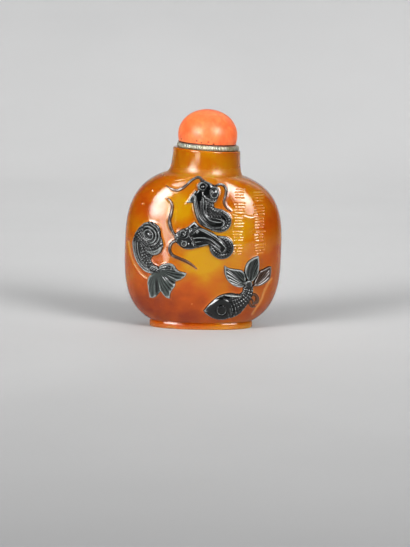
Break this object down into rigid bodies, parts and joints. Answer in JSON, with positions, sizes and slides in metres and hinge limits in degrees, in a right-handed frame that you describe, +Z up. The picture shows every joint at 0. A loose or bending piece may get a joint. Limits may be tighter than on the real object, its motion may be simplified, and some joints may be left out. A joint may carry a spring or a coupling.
{
  "type": "snuff bottle",
  "caption": "Small flattened hollow stone bottle with goldfish and catfish carved in relief on its front, a short neck, an oval foot and a domed stopper with a cork plug.",
  "frame": {"origin": "on the surface the foot stands on, below the middle of the bottle's width and whole depth", "axes": "+Z up through the neck, -Y out of the carved front, +X to the right as the front is seen"},
  "size_m": [0.047, 0.0274, 0.0652],
  "materials": {
    "agate": "polished",
    "collar_metal": "satin",
    "coral": "satin",
    "cork": "matte"
  },
  "bodies": {
    "root": {"bottle": "agate", "stopper_collar": "collar_metal", "stopper_cap": "coral", "stopper_cork": "cork"}
  },
  "joints": []
}
